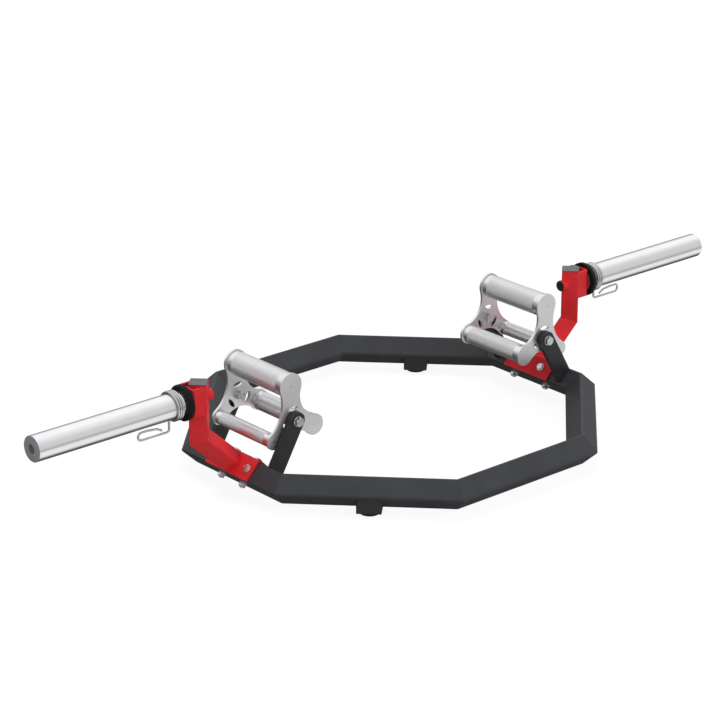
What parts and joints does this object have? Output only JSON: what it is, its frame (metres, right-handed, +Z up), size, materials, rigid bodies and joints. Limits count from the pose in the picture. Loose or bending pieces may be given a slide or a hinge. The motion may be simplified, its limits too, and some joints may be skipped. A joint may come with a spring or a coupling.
{
  "type": "trap bar",
  "caption": "Octagonal trap bar: a tube ring to stand in, rotating three-grip handles and rotating 50 mm plate sleeves with spring collars.",
  "frame": {"origin": "on the floor under the middle of the ring", "axes": "+X along the right sleeve, -Y to the front, +Z up"},
  "size_m": [1.719, 0.7844, 0.2462],
  "materials": {
    "charcoal_frame": "satin powder coat",
    "black_frame": "satin powder coat",
    "foot_rubber": "matte moulded rubber",
    "red_paint": "satin red powder coat",
    "grey_plastic": "matte moulded plastic",
    "dark_plastic": "matte moulded plastic",
    "black_plastic": "matte moulded plastic",
    "stop_rubber": "semi-matte moulded rubber",
    "satin_plate": "satin galvanised steel plate",
    "knurled_chrome": "fine knurl with smooth ends",
    "sleeve_chrome": "ground and chromed",
    "bronze_bush": "sintered bronze",
    "spring_wire": "zinc-plated spring wire",
    "zinc_steel": "zinc-plated steel"
  },
  "bodies": {
    "frame": {"ring_front_tube": "charcoal_frame", "ring_rear_tube": "charcoal_frame", "ring_left_tube": "charcoal_frame", "ring_right_tube": "charcoal_frame", "ring_front_left_tube": "charcoal_frame", "ring_front_right_tube": "charcoal_frame", "ring_rear_left_tube": "charcoal_frame", "ring_rear_right_tube": "charcoal_frame", "foot_cups": "black_frame", "foot_pads": "foot_rubber", "left_saddle": "red_paint", "right_saddle": "red_paint", "saddle_bolts": "zinc_steel", "saddle_washers": "zinc_steel", "saddle_nuts": "zinc_steel", "left_arm_upright": "red_paint", "left_arm_strut": "red_paint", "right_arm_upright": "red_paint", "right_arm_strut": "red_paint", "arm_caps": "grey_plastic", "left_channel": "red_paint", "right_channel": "red_paint", "boss_tubes": "red_paint", "boss_plugs": "black_plastic", "left_front_post": "black_frame", "left_rear_post": "black_frame", "right_front_post": "black_frame", "right_rear_post": "black_frame", "pivot_bolts": "zinc_steel", "pivot_washers": "zinc_steel", "pivot_nuts": "zinc_steel", "left_spindle": "zinc_steel", "right_spindle": "zinc_steel", "thrust_washers": "zinc_steel", "spindle_end_washers": "zinc_steel", "spindle_end_bolts": "zinc_steel"},
    "left_handle": {"left_handle_front_plate": "satin_plate", "left_handle_rear_plate": "satin_plate", "left_thick_grip": "knurled_chrome", "left_medium_grip": "knurled_chrome", "left_thin_grip": "knurled_chrome", "left_grip_pins": "zinc_steel", "left_handle_bushes": "bronze_bush"},
    "left_sleeve_assembly": {"left_sleeve": "sleeve_chrome", "left_stop_disc": "stop_rubber", "left_sleeve_bushes": "bronze_bush", "left_end_cap": "dark_plastic"},
    "left_collar": {"left_spring_collar": "spring_wire"},
    "right_handle": {"right_handle_front_plate": "satin_plate", "right_handle_rear_plate": "satin_plate", "right_thick_grip": "knurled_chrome", "right_medium_grip": "knurled_chrome", "right_thin_grip": "knurled_chrome", "right_grip_pins": "zinc_steel", "right_handle_bushes": "bronze_bush"},
    "right_sleeve_assembly": {"right_sleeve": "sleeve_chrome", "right_stop_disc": "stop_rubber", "right_sleeve_bushes": "bronze_bush", "right_end_cap": "dark_plastic"},
    "right_collar": {"right_spring_collar": "spring_wire"}
  },
  "joints": [
    {"name": "left_handle_turn", "type": "hinge", "parent": "frame", "child": "left_handle", "pos_m": [-0.3275, 0, 0.1512], "axis": [0, 1, 0], "continuous": true},
    {"name": "right_handle_turn", "type": "hinge", "parent": "frame", "child": "right_handle", "pos_m": [0.3275, 0, 0.1512], "axis": [0, 1, 0], "continuous": true},
    {"name": "left_sleeve_spin", "type": "hinge", "parent": "frame", "child": "left_sleeve_assembly", "pos_m": [-0.7, 0, 0.2112], "axis": [1, 0, 0], "continuous": true},
    {"name": "right_sleeve_spin", "type": "hinge", "parent": "frame", "child": "right_sleeve_assembly", "pos_m": [0.7, 0, 0.2112], "axis": [1, 0, 0], "continuous": true},
    {"name": "left_collar_slide", "type": "slide", "parent": "left_sleeve_assembly", "child": "left_collar", "axis": [-1, 0, 0], "range_m": [0, 0.29]},
    {"name": "right_collar_slide", "type": "slide", "parent": "right_sleeve_assembly", "child": "right_collar", "axis": [1, 0, 0], "range_m": [0, 0.29]}
  ]
}
